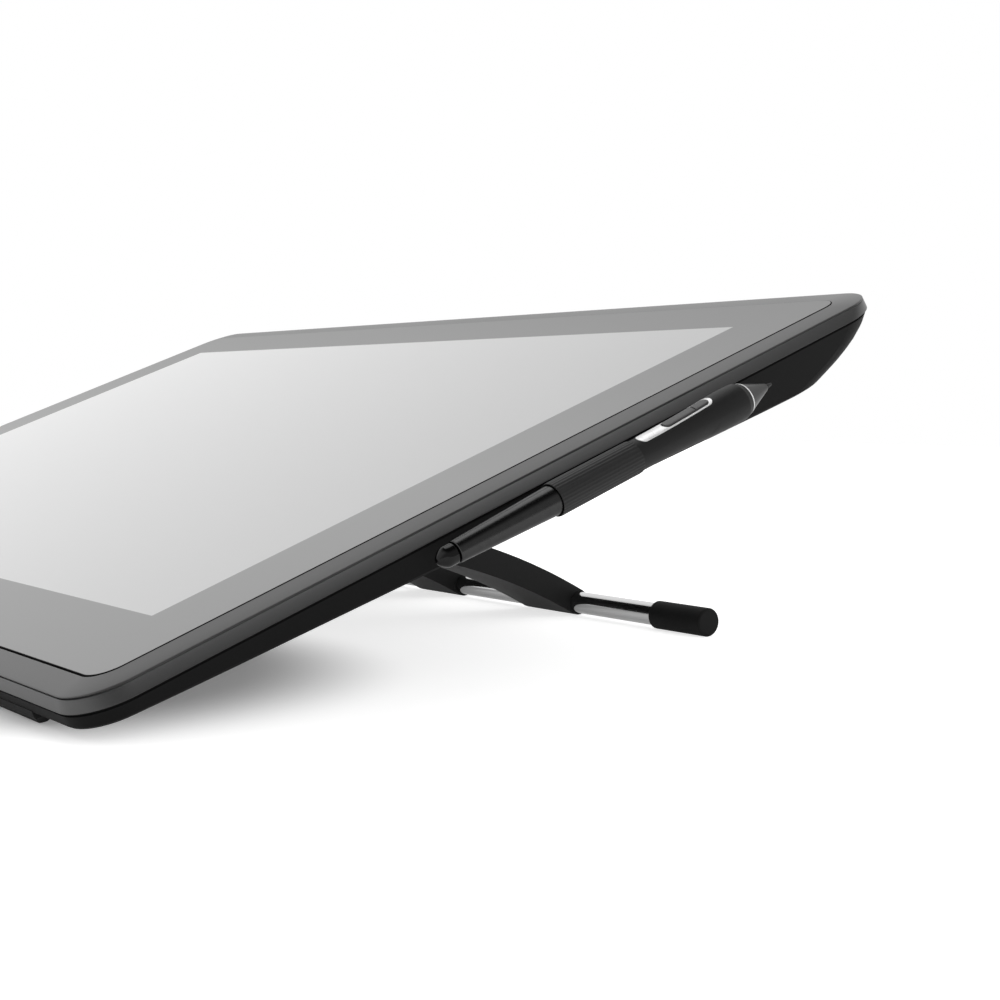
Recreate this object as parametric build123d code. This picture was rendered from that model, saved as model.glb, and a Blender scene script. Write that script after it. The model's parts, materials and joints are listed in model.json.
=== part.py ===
from build123d import *

import os
from math import cos, radians, sin, sqrt, tan

# Pen drawing tablet on a fold-out stand. Lengths are in millimetres and angles in degrees.
#
# The casing is drawn in its own frame: x to the right, y up the screen from the casing's front
# edge, and z out of the glass, with z = 0 on the glass. on_desk() leans it back and puts the
# line where the front foot touches the desk at the origin. The stand is drawn in that leaned
# frame, where the desk is z = 0.

TILT = 22.8

# Screen
ACTIVE_W = 476.6
ACTIVE_D = 268.1
BORDER_SIDE = 32.0
BORDER_FRONT = 34.3
BORDER_REAR = 28.6
GLASS_T = 1.8
GLASS_R = 9.0
GLASS_GAP = 0.4
TAPE_T = 0.5
TAPE_W = 7.0

# Front bezel: a face that falls away from the glass, then a band that flares to the parting line.
# Pairs of corner radii are for the front and the rear corners.
FACE_SIDE = 10.1
FACE_FRONT = 10.7
FACE_REAR = 13.2
FACE_DROP = 1.5
FACE_R = (16.8, 19.0)
FLARE_SIDE = 4.6
FLARE_FRONT = 2.1
FLARE_REAR = 1.6
BAND_H = 4.0
BEZEL_LIP = 0.15
CASE_R = (17.8, 28.0)
RIB_T = 1.6
RIB_H = 2.0
RIB_FIT = 0.3

# Rear cover: depth below the parting line, rear inset and pair of corner radii of each section
HULL_SECTIONS = [
    (0.0, 0.8, (17.4, 27.0)),
    (8.0, 4.4, (13.5, 29.0)),
    (14.0, 7.1, (11.0, 38.0)),
    (22.0, 10.7, (8.0, 59.0)),
]
WALL_DRAFT = 22.3
FRONT_DRAFT = 6.0
RIM_INSET = 0.4
RIM_GROOVE = 0.9
WALL = 2.2
CHIN_DEPTH = 10.8
WEDGE = 2.6
HULL_CHAMFER = 0.9

# Belly: a wide shallow step, then the pad that the stand bolts to
DECK_DEPTH = 17.0
DECK_SIDE = 58.0
DECK_FRONT = 48.0
DECK_REAR = 78.0
DECK_RUN = 34.0
PAD_DEPTH = 30.0
PAD_W = 216.0
PAD_D = 130.0
PAD_RUN = 42.0
PAD_WALL = 5.0

# Screen stack behind the glass
AIR_GAP = 0.5
CELL_T = 1.5
MODULE_MARGIN = 9.5
BACKLIGHT_T = 4.0
SENSOR_T = 1.0
SHIELD_T = 0.4
CHASSIS_T = 1.0
CHASSIS_R = 40.0
STACK_GAP = 0.2
WINDOW_FIT = 0.6

# Stand fixing
FIXING_PITCH = 100.0
FIXING_R = 2.0
FIXING_HEAD_R = 3.6
FIXING_HEAD_T = 2.2
FIXING_LEN = 14.0
BOSS_R = 5.0
PLATE_W = 164.0
PLATE_D = 118.0
PLATE_T = 2.5
PLATE_R = 6.0

# Hinge
HINGE_FORWARD = 12.2
HINGE_DROP = 40.0
SHAFT_R = 5.0
RUNNING_FIT = 0.05
EAR_T = 4.0
EAR_WALL = 3.5
WASHER_T = 1.5
WASHER_WALL = 3.0
SIDE_PLAY = 0.2
NUT_WALL = 2.5
NUT_T = 5.5
HOOD_ROOM = 4.4
HOOD_T = 1.6

# Stand
ARM_LEN = 184.4
ARM_RISE = 13.0
ARM_T = 12.8
ARM_IN = 30.0
ARM_OUT = 70.4
EYE_WALL = 4.0
WRAP_WALL = 0.9
TUBE_R = 5.4
TUBE_WALL = 1.2
CAP_WALL = 1.24
CAP_IN = 131.3
CAP_LEN = 34.4
CAP_END = 4.0
CAP_ROUND = 1.2

# Feet
FOOT_Y = 4.6
FOOT_DROP = 16.6
FOOT_SIDE = 45.0
FOOT_TAPER = 12.0
FOOT_W = 11.0
FOOT_FLAT = 3.2
FOOT_SINK = 1.2
PAD_FOOT_R = 9.0
PAD_FOOT_T = 2.5
PAD_FOOT_SIDE = 135.0
PAD_FOOT_REAR = 75.0

# Casing screws
SCREW_R = 1.5
SCREW_HEAD_R = 2.8
SCREW_HEAD_T = 1.6
SCREW_EDGE = 16.0
SCREW_FRONT = 46.0
SCREW_REAR = 59.0
SCREW_INNER = 54.0
SCREW_BOSS_R = 3.6
THREAD_FIT = 0.05

# Boards and sockets
BOARD_T = 1.6
BOARD_DROP = 15.6
BOARD_SIDE = 10.0
BOARD_D = 96.0
CHIPS = [(0, -12, 26, 26, 2.2), (34, -10, 14, 11, 1.2), (34, 8, 14, 11, 1.2), (-34, 14, 16, 16, 1.6)]
BAY_W = 46.0
BAY_D = 66.0
BAY_BEHIND = 6.5
BAY_WALL = 2.0
BAY_DROP = 14.5
BAY_FIT = 0.2
SOCKET_DEPTH = 13.0
SOCKET_WALL = 0.8
SOCKET_FIT = 0.1
VENT_W = 2.0
VENT_L = 13.0
VENT_PITCH = 5.0
VENT_COUNT = 22
VENT_REAR = 91.0

# Power button in the rear wall
BUTTON_SIDE = 49.0
BUTTON_W = 14.0
BUTTON_H = 3.4
BUTTON_DROP = 10.0
BUTTON_PROUD = 0.9
BUTTON_LEN = 8.0
BUTTON_TRAVEL = 0.7
BUTTON_FIT = 0.3
LIGHT_R = 1.0
LIGHT_STEP = 13.0

# Pen, its eraser end at 0 and its nib at PEN_LEN
PEN_LEN = 157.0
PEN_ASIDE = 5.8
PEN_BEHIND = 9.4
PEN_DROP = 10.3
PEN_BORE = 3.2
TAIL_BORE = 2.7
BORE_STEP = 22.0
TAIL_START = 7.6
TAIL_R0 = 3.85
TAIL_R = 5.3
TAIL_END = 74.0
GRIP_START = 86.6
GRIP_CURVE = [(5.62, 86.6), (5.7, 100.0), (6.25, 115.0), (6.85, 126.0), (7.1, 134.0)]
CONE_START = 138.5
CONE_R = 6.95
RING_START = 140.9
RING_END = 141.6
NOSE_END = 153.5
NOSE_END_R = 1.5
NIB_R = 0.9
NIB_TIP_R = 0.55
NIB_TAPER = 2.4
NIB_BACK = 115.0
NIB_FIT = 0.3
NIB_TRAVEL = 0.7
ERASER_R = 3.6
ERASER_STEM_R = 2.4
ERASER_STEM = 9.0
ERASER_GROOVE = 0.8
ERASER_TRAVEL = 0.5
COIL_LEN = 24.0
COIL_START = 116.0
PEN_BOARD_W = 5.0
PEN_BOARD_T = 1.2

# Side switch on the pen
SWITCH_ANGLE = 74.0
SWITCH_FLOOR = 4.0
SURROUND_START = 89.3
SURROUND_END = 125.2
SURROUND_W = 5.2
SURROUND_PROUD = 0.2
SURROUND_FIT = 0.05
ROCKER_START = 101.8
ROCKER_END = 123.2
ROCKER_W = 3.2
ROCKER_FIT = 0.5
ROCKER_LIFT = 0.8
ROCKER_PROUD = 0.55
ROCKER_SPLIT = 116.4
SPLIT_W = 0.5
SPLIT_AT = 6.8
PIVOT_R = 0.7

# Pen loop and the slots that take it
LOOP_START = 49.4
LOOP_LEN = 37.2
LOOP_WALL = 0.42
LOOP_FIT = 0.3
TAB_LEN = 30.0
TAB_T = 2.0
TAB_DEPTH = 13.0
SLOT_FIT = 0.3
LINER_T = 1.2
LINER_DEPTH = 15.0
FLANGE_T = 0.8
PLUG_LEN = 6.0
PLUG_FIT = 0.05
MOUTH_INSET = 2.5

# Worked out from the sizes above
GLASS_W = ACTIVE_W + 2 * BORDER_SIDE
GLASS_D = ACTIVE_D + BORDER_FRONT + BORDER_REAR
GLASS_SIDE = FACE_SIDE + FLARE_SIDE
GLASS_FRONT = FACE_FRONT + FLARE_FRONT
GLASS_REAR = FACE_REAR + FLARE_REAR
CASE_W = GLASS_W + 2 * GLASS_SIDE
CASE_D = GLASS_D + GLASS_FRONT + GLASS_REAR
ACTIVE_FRONT = GLASS_FRONT + BORDER_FRONT
ACTIVE_MID_Y = ACTIVE_FRONT + ACTIVE_D / 2
PARTING_Z = -(FACE_DROP + BAND_H)
LEDGE_Z = -(GLASS_T + TAPE_T)
CELL_Z = -(GLASS_T + AIR_GAP)
BACKLIGHT_Z = CELL_Z - CELL_T
SENSOR_Z = BACKLIGHT_Z - BACKLIGHT_T - STACK_GAP
SHIELD_Z = SENSOR_Z - SENSOR_T
CHASSIS_Z = SHIELD_Z - SHIELD_T - STACK_GAP
CHASSIS_BACK = CHASSIS_Z - CHASSIS_T
MODULE_W = ACTIVE_W + 2 * MODULE_MARGIN
MODULE_D = ACTIVE_D + 2 * MODULE_MARGIN
PAD_Y = CASE_D / 2
HINGE_Y = PAD_Y - HINGE_FORWARD
BAY_X = PAD_W / 2
BAY_Y = PAD_Y + BAY_BEHIND
BOARD_W = PAD_W - 2 * BOARD_SIDE
VENT_Y = CASE_D - VENT_REAR
BUTTON_X = CASE_W / 2 - BUTTON_SIDE
FOOT_HALF = CASE_W / 2 - FOOT_SIDE
PAD_FOOT_X = CASE_W / 2 - PAD_FOOT_SIDE
PAD_FOOT_Y = CASE_D - PAD_FOOT_REAR
SLOT_Y = PAD_Y + PEN_BEHIND
SCREW_YS = [SCREW_FRONT, SLOT_Y - SCREW_INNER, SLOT_Y + SCREW_INNER, CASE_D - SCREW_REAR]
PEN_X = CASE_W / 2 + PEN_ASIDE
PEN_Y = SLOT_Y - LOOP_START - LOOP_LEN / 2
LOOP_R = TAIL_R + LOOP_FIT + LOOP_WALL
MOUTH_X = CASE_W / 2 - MOUTH_INSET
EAR_R = SHAFT_R + EAR_WALL
EYE_R = SHAFT_R + EYE_WALL
WASHER_R = SHAFT_R + WASHER_WALL
NUT_R = SHAFT_R + NUT_WALL
HOOD_R = SHAFT_R + HOOD_ROOM + HOOD_T
WRAP_R = TUBE_R + WRAP_WALL
CAP_R = TUBE_R + CAP_WALL
CAP_OUT = CAP_IN + CAP_LEN
PLATE_BACK = -PAD_DEPTH
PLATE_FRONT = PLATE_BACK + PLATE_T
BOARD_BACK = -(BOARD_DROP + BOARD_T)
EAR_IN = ARM_IN - WASHER_T - SIDE_PLAY - EAR_T
EAR_OUT = ARM_OUT + WASHER_T + SIDE_PLAY
SHAFT_HALF = EAR_OUT + EAR_T + SIDE_PLAY + NUT_T
HINGE_DESK_Y = (HINGE_Y - FOOT_Y) * cos(radians(TILT)) + (HINGE_DROP - FOOT_DROP) * sin(radians(TILT))
HINGE_DESK_Z = (HINGE_Y - FOOT_Y) * sin(radians(TILT)) - (HINGE_DROP - FOOT_DROP) * cos(radians(TILT))
TUBE_DESK_Y = HINGE_DESK_Y + sqrt(ARM_LEN**2 - (HINGE_DESK_Z - CAP_R) ** 2)


def on_desk(part):
    """Lean a part of the casing back and stand it on the desk."""
    return Rot(TILT, 0, 0) * Pos(0, -FOOT_Y, FOOT_DROP) * part


def block(x, y, z):
    """Box between the low and high limits given along each axis."""
    centre = [(low + high) / 2 for low, high in (x, y, z)]
    return Pos(*centre) * Box(x[1] - x[0], y[1] - y[0], z[1] - z[0])


def rod_x(x, y, z, radius):
    """Cylinder along x between the limits x, through (y, z)."""
    return Pos((x[0] + x[1]) / 2, y, z) * Rot(0, 90, 0) * Cylinder(radius, x[1] - x[0])


def rod_z(x, y, z, radius):
    """Cylinder along z between the limits z, through (x, y)."""
    return Pos(x, y, (z[0] + z[1]) / 2) * Cylinder(radius, z[1] - z[0])


def outline(side, front, rear, radii, z):
    """Rectangle at height z with front and rear corner radii, drawn in from the casing's outline."""
    depth = CASE_D - front - rear
    shape = Rectangle(CASE_W - 2 * side, depth)
    shape = fillet(shape.vertices().sort_by(Axis.Y)[:2], radii[0])
    shape = fillet(shape.vertices().sort_by(Axis.Y)[-2:], radii[1])
    return Pos(0, front + depth / 2, z) * shape


def smaller(radii, inset):
    """The pair of corner radii of an outline drawn in by inset."""
    return [radius - inset for radius in radii]


def slab(width, depth, mid_y, top, thickness, radius=2.0):
    """Flat sheet with rounded corners, its upper face at height top."""
    return extrude(Pos(0, mid_y, top) * RectangleRounded(width, depth, radius), thickness, dir=(0, 0, -1))


def mirrored(part):
    """The part and its mirror image across the casing's middle."""
    return [part, mirror(part, about=Plane.YZ)]


def joined(parts):
    """One node from several solids."""
    return Compound(children=list(parts))


# Front of the casing


def glass_outline(grow, z):
    radii = (GLASS_R + grow, GLASS_R + grow)
    return outline(GLASS_SIDE - grow, GLASS_FRONT - grow, GLASS_REAR - grow, radii, z)


def cover_glass():
    return extrude(glass_outline(0, 0), GLASS_T, dir=(0, 0, -1))


def glass_tape():
    """Foam tape that seals the glass to the bezel's ledge."""
    ring = glass_outline(-1.0, -GLASS_T) - glass_outline(-1.0 - TAPE_W, -GLASS_T)
    return extrude(ring, TAPE_T, dir=(0, 0, -1))


def screw_places():
    """Centres of the casing screws, both sides."""
    x = CASE_W / 2 - SCREW_EDGE
    return [(side * x, y) for side in (-1, 1) for y in SCREW_YS]


def rim_outline(inset):
    """The rear cover's rim at the parting line, drawn in by inset."""
    side = RIM_INSET + inset
    return outline(side, side, HULL_SECTIONS[0][1] + inset, smaller(CASE_R, side), PARTING_Z)


def front_bezel():
    face_edge = outline(FLARE_SIDE, FLARE_FRONT, FLARE_REAR, FACE_R, -FACE_DROP)
    face = loft([glass_outline(GLASS_GAP, -BEZEL_LIP), face_edge], ruled=True)
    band = loft([face_edge, outline(0, 0, 0, CASE_R, PARTING_Z)], ruled=True)
    body = face + band
    body -= extrude(glass_outline(GLASS_GAP, LEDGE_Z), 10)
    window = Pos(0, ACTIVE_MID_Y, 0) * Box(MODULE_W + 2 * WINDOW_FIT, MODULE_D + 2 * WINDOW_FIT, 30)
    rib = rim_outline(WALL + RIB_FIT) - rim_outline(WALL + RIB_FIT + RIB_T)
    body += extrude(rib, RIB_H, dir=(0, 0, -1)) & hull(WALL + RIB_FIT)
    for x, y in screw_places():
        foot = deck_z(y) + WALL + 0.5
        body += rod_z(x, y, (foot, PARTING_Z), SCREW_BOSS_R)
        body -= rod_z(x, y, (foot - 1, PARTING_Z + 1), SCREW_R + THREAD_FIT)
    body -= slot_space(1) + slot_space(-1)
    return body - window


# Rear cover


def deck_z(y, inset=0):
    """Height of the underside's wedge at y."""
    return -CHIN_DEPTH - y * tan(radians(WEDGE)) + inset / cos(radians(WEDGE))


def hull(inset):
    """Boat-shaped body of the rear cover, drawn in by inset all round."""
    sections = []
    for depth, rear, radii in HULL_SECTIONS:
        side = RIM_INSET + depth * tan(radians(WALL_DRAFT)) + inset
        front = RIM_INSET + depth * tan(radians(FRONT_DRAFT)) + inset
        sections.append(outline(side, front, rear + inset, smaller(radii, inset), PARTING_Z - depth))
    near = -PAD_DEPTH
    far = CASE_D + PAD_DEPTH
    low = deck_z(far) - PAD_DEPTH
    under = [(near, deck_z(near, inset)), (near, low), (far, low), (far, deck_z(far, inset))]
    cut = extrude(Plane.YZ * make_face(Polyline(*under, close=True)), CASE_W, both=True)
    return loft(sections) - cut


def frustum(mid_y, width, depth, run, top, bottom):
    """Block with sloping sides that narrows downwards by run on each side."""
    base = Pos(0, mid_y, top) * RectangleRounded(width + 2 * run, depth + 2 * run, 30)
    tip = Pos(0, mid_y, bottom) * RectangleRounded(width, depth, 14)
    return loft([base, tip], ruled=True)


def belly(inset):
    """Shallow step and central pad under the hull, drawn in by inset."""
    depth = CASE_D - DECK_FRONT - DECK_REAR - 2 * inset
    mid = DECK_FRONT + (CASE_D - DECK_FRONT - DECK_REAR) / 2
    width = CASE_W - 2 * DECK_SIDE - 2 * inset
    deck = frustum(mid, width, depth, DECK_RUN, -CHIN_DEPTH + 1.5, -DECK_DEPTH + inset)
    floor = -PAD_DEPTH + (PAD_WALL if inset else 0)
    pad = frustum(PAD_Y, PAD_W - 2 * inset, PAD_D - 2 * inset, PAD_RUN, -DECK_DEPTH + 2 + inset, floor)
    return deck + pad


def casing_form():
    """Outside shape of the rear cover, filled in."""
    body = hull(0)
    underside = body.faces().filter_by(GeomType.PLANE).sort_by(Axis.Z)[0]
    return chamfer(underside.edges(), HULL_CHAMFER) + belly(0)


def bay_box(grow):
    """Space of the socket bay's tub, grown by grow."""
    x = (BAY_X - BAY_WALL - grow, BAY_X + BAY_W + BAY_WALL + grow)
    y = (BAY_Y - BAY_WALL - grow, BAY_Y + BAY_D + BAY_WALL + grow)
    return block(x, y, (-PAD_DEPTH - 5, -BAY_DROP + BAY_WALL + grow))


def slot_space(side):
    """Space in the casing's side that takes a slot liner."""
    reach = CASE_W / 2 + 5
    near = MOUTH_X - LINER_DEPTH - 0.2
    x = (near, reach) if side > 0 else (-reach, -near)
    half_y = TAB_LEN / 2 + SLOT_FIT + LINER_T + 0.1
    half_z = TAB_T / 2 + SLOT_FIT + LINER_T + 0.1
    return block(x, (SLOT_Y - half_y, SLOT_Y + half_y), (-PEN_DROP - half_z, -PEN_DROP + half_z))


def fixing_places():
    half = FIXING_PITCH / 2
    return [(x, PAD_Y + y) for x in (-half, half) for y in (-half, half)]


def stadium_y(x, z, width, height, y):
    """Rounded bar along y between the limits y, centred on (x, z)."""
    shape = Plane((x, y[0], z), x_dir=(1, 0, 0), z_dir=(0, 1, 0)) * SlotOverall(width, height)
    return extrude(shape, y[1] - y[0], dir=(0, 1, 0))


def rear_cover():
    form = casing_form()
    body = form - (hull(WALL) + belly(WALL))
    groove = outline(-1, -1, -1, CASE_R, PARTING_Z) - rim_outline(RIM_GROOVE)
    body -= extrude(groove, RIM_GROOVE, dir=(0, 0, -1))
    body -= Pos(0, PAD_Y, 0) * slab(PLATE_W + 0.4, PLATE_D + 0.4, 0, PLATE_FRONT, 10, PLATE_R)
    for x, y in fixing_places():
        body -= rod_z(x, y, (-PAD_DEPTH, -BOARD_DROP), FIXING_R + 0.25)
    for x, y in screw_places():
        body -= rod_z(x, y, (deck_z(y) - 2, deck_z(y) + WALL + 1), SCREW_R + 0.2)
        body -= rod_z(x, y, (deck_z(y) - 2, deck_z(y) + SCREW_HEAD_T - 0.6), SCREW_HEAD_R + 0.2)
    body -= bay_box(BAY_FIT)
    body -= slot_space(1) + slot_space(-1)
    y = (CASE_D - 30, CASE_D + 5)
    body -= stadium_y(BUTTON_X, -BUTTON_DROP, BUTTON_W + 2 * BUTTON_FIT, BUTTON_H + 2 * BUTTON_FIT, y)
    light = Plane((BUTTON_X - LIGHT_STEP, y[0], -BUTTON_DROP), z_dir=(0, 1, 0)) * Circle(LIGHT_R + 0.05)
    body -= extrude(light, y[1] - y[0], dir=(0, 1, 0))
    vent = block((-VENT_W / 2, VENT_W / 2), (VENT_Y, VENT_Y + VENT_L), (-40, -14))
    first = -VENT_PITCH * (VENT_COUNT - 1) / 2
    for i in range(VENT_COUNT):
        body -= Pos(first + i * VENT_PITCH, 0, 0) * vent
    body -= foot_strip(0.1)
    for foot in mirrored(pad_foot_space()):
        body -= foot
    return body


def foot_strip(grow):
    """Rubber strip under the front edge, with a flat where it meets the desk."""
    lean = radians(TILT)
    flat_y = FOOT_FLAT * cos(lean) / 2
    flat_z = FOOT_FLAT * sin(lean) / 2
    top = deck_z(0) + FOOT_SINK + grow
    near = FOOT_Y - FOOT_W / 2 + 1.5 - grow
    far = near + FOOT_W + 2 * grow
    points = [
        (near, top),
        (near, deck_z(near) - 1.0),
        (FOOT_Y - flat_y, -FOOT_DROP + flat_z),
        (FOOT_Y + flat_y, -FOOT_DROP - flat_z),
        (far, deck_z(far) - 1.5),
        (far, top),
    ]
    body = extrude(Plane.YZ * make_face(Polyline(*points, close=True)), FOOT_HALF + grow, both=True)
    ramp = Polyline(
        (FOOT_HALF - FOOT_TAPER, -FOOT_DROP - 3),
        (FOOT_HALF + 1, deck_z(0) - 1.0),
        (FOOT_HALF + 1, -FOOT_DROP - 3),
        close=True,
    )
    ramp = extrude(Plane.XZ * make_face(ramp), 60, both=True)
    for side in mirrored(ramp):
        body -= side
    return body


def pad_foot_space():
    z = deck_z(PAD_FOOT_Y)
    return rod_z(PAD_FOOT_X, PAD_FOOT_Y, (z - 5, z + 0.8), PAD_FOOT_R + 0.1)


def rear_pads():
    """Rubber pads that the casing's rear rests on when the stand is off."""
    z = deck_z(PAD_FOOT_Y)
    pad = rod_z(PAD_FOOT_X, PAD_FOOT_Y, (z + 0.8 - PAD_FOOT_T, z + 0.8), PAD_FOOT_R)
    pad = fillet(pad.faces().sort_by(Axis.Z)[0].edges(), 0.6)
    return joined(mirrored(pad))


def cover_screws():
    screws = []
    for x, y in screw_places():
        seat = deck_z(y) + SCREW_HEAD_T - 0.6
        screw = rod_z(x, y, (seat - SCREW_HEAD_T, seat), SCREW_HEAD_R)
        screw += rod_z(x, y, (seat, PARTING_Z - 0.5), SCREW_R)
        screw -= rod_z(x, y, (seat - SCREW_HEAD_T - 1, seat - 0.7), 0.9)
        screws.append(screw)
    return joined(screws)


# Screen stack


def lcd_panel():
    return slab(MODULE_W, MODULE_D, ACTIVE_MID_Y, CELL_Z, CELL_T, 1)


def backlight_tray():
    return slab(MODULE_W, MODULE_D, ACTIVE_MID_Y, BACKLIGHT_Z, BACKLIGHT_T, 1)


def pen_sensor():
    return slab(MODULE_W - 3, MODULE_D - 3, ACTIVE_MID_Y, SENSOR_Z, SENSOR_T, 3)


def sensor_shield():
    return slab(MODULE_W - 5, MODULE_D - 5, ACTIVE_MID_Y, SHIELD_Z, SHIELD_T, 3)


def chassis():
    """Sheet-steel frame with the threaded bosses that the stand bolts into."""
    body = slab(MODULE_W, MODULE_D, ACTIVE_MID_Y, CHASSIS_Z, CHASSIS_T, CHASSIS_R)
    for x, y in fixing_places():
        body += rod_z(x, y, (-PAD_DEPTH + PAD_WALL + 0.1, CHASSIS_BACK), BOSS_R)
        body -= rod_z(x, y, (-PAD_DEPTH, CHASSIS_Z - 0.3), FIXING_R + THREAD_FIT)
    for x, y in board_posts():
        body += rod_z(x, y, (-BOARD_DROP, CHASSIS_BACK), 3)
    return body


def board_posts():
    x = BOARD_W / 2 - 8
    y = BOARD_D / 2 - 8
    return [(i * x, PAD_Y + j * y) for i in (-1, 1) for j in (-1, 1)]


def main_board():
    body = slab(BOARD_W, BOARD_D, PAD_Y, -BOARD_DROP, BOARD_T, 3)
    for x, y in fixing_places():
        body -= rod_z(x, y, (-40, 0), BOSS_R + 1)
    return body


def board_chips():
    """Processor, memory and converters on the main board's back."""
    chips = []
    for x, y, width, depth, height in CHIPS:
        chips.append(Pos(x, PAD_Y + y, BOARD_BACK - height / 2) * Box(width, depth, height))
    return joined(chips)


# Sockets


def port_bay():
    inner = block((BAY_X, BAY_X + BAY_W), (BAY_Y, BAY_Y + BAY_D), (-PAD_DEPTH - 9, -BAY_DROP))
    body = (bay_box(0) - inner) & casing_form()
    for space in (hdmi_body(SOCKET_FIT), usb_body(SOCKET_FIT), power_body(SOCKET_FIT)):
        body -= space
    return body


def socket_block(y, width, height, grow):
    """Metal or plastic shell of a socket, hung under the main board."""
    top = BOARD_BACK + (grow if grow else 0)
    x = (BAY_X - SOCKET_DEPTH - grow, BAY_X + (5 if grow else 0))
    return block(x, (y - width / 2 - grow, y + width / 2 + grow), (top - height - grow, top))


def hdmi_body(grow):
    return socket_block(BAY_Y + 52, 15.0, 6.0, grow)


def usb_body(grow):
    return socket_block(BAY_Y + 32, 13.1, 6.0, grow)


def power_body(grow):
    return socket_block(BAY_Y + 12, 9.0, 7.4, grow)


def mouth(y, width, height, drop, depth):
    """Opening of a socket, facing the bay."""
    z = BOARD_BACK - drop
    return block((BAY_X - depth, BAY_X + 1), (y - width / 2, y + width / 2), (z - height, z))


def hdmi_socket():
    y = BAY_Y + 52
    body = hdmi_body(0) - mouth(y, 13.4, 4.4, SOCKET_WALL, 10)
    return body + mouth(y, 9.4, 1.1, SOCKET_WALL + 1.7, 10).moved(Location((-2, 0, 0)))


def usb_socket():
    y = BAY_Y + 32
    body = usb_body(0) - mouth(y, 11.5, 4.4, SOCKET_WALL, 10)
    return body + mouth(y, 9.4, 1.6, SOCKET_WALL + 0.6, 10).moved(Location((-2, 0, 0)))


def power_socket():
    y = BAY_Y + 12
    z = BOARD_BACK - 3.7
    body = power_body(0) - rod_x((BAY_X - 10, BAY_X + 1), y, z, 2.8)
    return body + rod_x((BAY_X - 11, BAY_X - 1.5), y, z, 0.9)


# Power button


def rear_wall_y(depth):
    """Rear face of the hull at a depth below the parting line, between its first sections."""
    (top, start, _), (low, end, _) = HULL_SECTIONS[0], HULL_SECTIONS[1]
    return CASE_D - start - (end - start) * (depth - top) / (low - top)


def power_button():
    outer = rear_wall_y(BUTTON_DROP + PARTING_Z) + BUTTON_PROUD
    cap = stadium_y(BUTTON_X, -BUTTON_DROP, BUTTON_W, BUTTON_H, (outer - BUTTON_LEN, outer))
    flange = block(
        (BUTTON_X - BUTTON_W / 2 - 1.5, BUTTON_X + BUTTON_W / 2 + 1.5),
        (outer - BUTTON_LEN - 1, outer - BUTTON_LEN),
        (-BUTTON_DROP - BUTTON_H / 2 - 0.8, -BUTTON_DROP + BUTTON_H / 2 + 0.8),
    )
    return cap + flange


def status_light():
    outer = rear_wall_y(BUTTON_DROP + PARTING_Z)
    x = BUTTON_X - LIGHT_STEP
    pipe = Plane((x, outer - BUTTON_LEN, -BUTTON_DROP), z_dir=(0, 1, 0)) * Circle(LIGHT_R)
    return extrude(pipe, BUTTON_LEN, dir=(0, 1, 0))


def button_board():
    outer = rear_wall_y(BUTTON_DROP + PARTING_Z) + BUTTON_PROUD
    back = outer - BUTTON_LEN - 1 - BUTTON_TRAVEL - 0.3
    x = (BUTTON_X - LIGHT_STEP - 4, BUTTON_X + BUTTON_W / 2 + 5)
    z = (-BUTTON_DROP - 4, PARTING_Z)
    return block(x, (back - BOARD_T, back), z)


# Stand fixing and hinge


def tab(x, y, root, z, radius):
    """Ear that stands down from height root and is rounded about (y, z)."""
    return block(x, (y - radius, y + radius), (z, root)) + rod_x(x, y, z, radius)


def stand_bracket():
    """Steel plate with two pairs of ears that carry the hinge shaft."""
    body = slab(PLATE_W, PLATE_D, PAD_Y, PLATE_FRONT, PLATE_T, PLATE_R)
    for start in (EAR_IN, EAR_OUT):
        for ear in mirrored(tab((start, start + EAR_T), HINGE_Y, PLATE_BACK, -HINGE_DROP, EAR_R)):
            body += ear
    body -= rod_x((-100, 100), HINGE_Y, -HINGE_DROP, SHAFT_R + RUNNING_FIT)
    for x, y in fixing_places():
        body -= rod_z(x, y, (PLATE_BACK - 1, PLATE_FRONT + 1), FIXING_R + 0.25)
    return body


def bracket_screws():
    screws = []
    for x, y in fixing_places():
        screw = rod_z(x, y, (PLATE_BACK - FIXING_HEAD_T, PLATE_BACK), FIXING_HEAD_R)
        screw += rod_z(x, y, (PLATE_BACK, PLATE_BACK + FIXING_LEN), FIXING_R)
        screw -= rod_z(x, y, (PLATE_BACK - 3, PLATE_BACK - FIXING_HEAD_T + 1.3), 1.3)
        screws.append(screw)
    return joined(screws)


def hinge_hood():
    """Plastic hood over the middle of the hinge shaft."""
    x = (-EAR_IN + 0.2, EAR_IN - 0.2)
    inner = tab((x[0] - 1, x[1] + 1), HINGE_Y, PLATE_BACK + 1, -HINGE_DROP, HOOD_R - HOOD_T)
    return tab(x, HINGE_Y, PLATE_BACK, -HINGE_DROP, HOOD_R) - inner


# Stand, drawn in the desk's frame


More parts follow.
